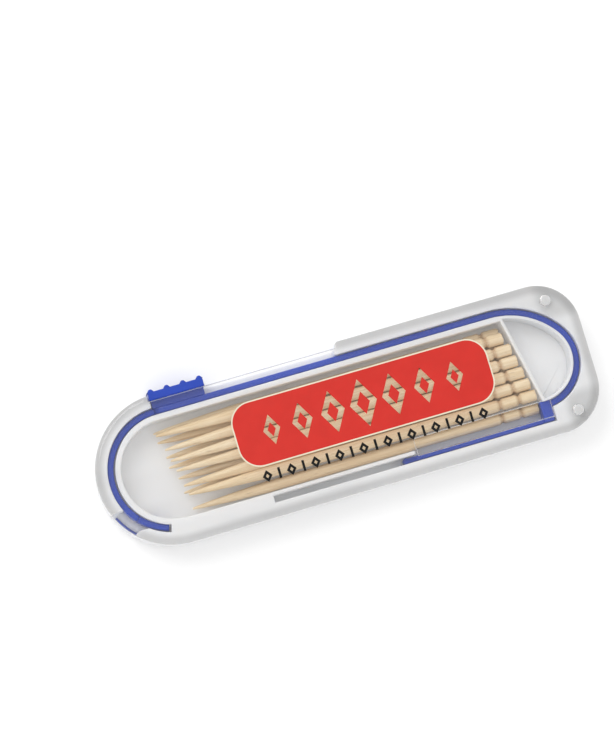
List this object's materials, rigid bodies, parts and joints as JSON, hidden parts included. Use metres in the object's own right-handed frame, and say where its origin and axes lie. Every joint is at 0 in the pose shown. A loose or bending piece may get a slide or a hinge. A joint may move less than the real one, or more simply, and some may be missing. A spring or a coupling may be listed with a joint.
{
  "type": "pocket toothpick dispenser",
  "caption": "Flat pocket case with a clear cover; a thumb button drives a flexible strip that pushes a toothpick out at the round end.",
  "frame": {"origin": "centre of the case's flat back, midway along its length and width", "axes": "+X along the case to its square end, +Y towards the side with the thumb recess, +Z out of the flat back and through the clear cover"},
  "size_m": [0.0917, 0.0282, 0.008],
  "materials": {
    "white_plastic": "white moulded plastic, slightly glossy",
    "clear_plastic": "clear moulded plastic, polished",
    "red_ink": "screen printed ink",
    "cream_ink": "screen printed ink",
    "black_ink": "screen printed ink",
    "blue_plastic": "blue flexible polypropylene",
    "birch": "plain turned birch"
  },
  "bodies": {
    "case": {"base_tray": "white_plastic", "clear_cover": "clear_plastic", "printed_panel": "red_ink", "panel_border": "cream_ink", "mark_row": "black_ink", "strip_run": "blue_plastic", "strip_tail": "blue_plastic", "toothpick_01": "birch", "toothpick_02": "birch", "toothpick_03": "birch", "toothpick_04": "birch", "toothpick_05": "birch", "toothpick_06": "birch", "toothpick_07": "birch", "toothpick_08": "birch", "toothpick_09": "birch", "toothpick_10": "birch", "toothpick_11": "birch", "toothpick_12": "birch"},
    "button": {"thumb_button": "blue_plastic"},
    "pusher": {"pusher": "blue_plastic"},
    "gate": {"gate_tip": "blue_plastic"},
    "dispensed_pick": {"next_toothpick": "birch"}
  },
  "joints": [
    {"name": "thumb_slide", "type": "slide", "parent": "case", "child": "button", "axis": [1, 0, 0], "range_m": [0, 0.024], "deforming": ["strip_run", "strip_tail"]},
    {"name": "pusher_slide", "type": "slide", "parent": "case", "child": "pusher", "axis": [-1, 0, 0], "range_m": [0, 0.024]},
    {"name": "gate_turn", "type": "hinge", "parent": "case", "child": "gate", "pos_m": [-0.0323, 0, 0], "axis": [0, 0, -1], "range_deg": [0, 129.2]},
    {"name": "pick_slide", "type": "slide", "parent": "case", "child": "dispensed_pick", "axis": [-1, 0, 0], "range_m": [0, 0.024]}
  ],
  "couplings": [
    {"joint": "pusher_slide", "follows": "thumb_slide", "ratio": 1},
    {"joint": "gate_turn", "follows": "thumb_slide", "rad_per_m": 93.897},
    {"joint": "pick_slide", "follows": "thumb_slide", "ratio": 1}
  ]
}
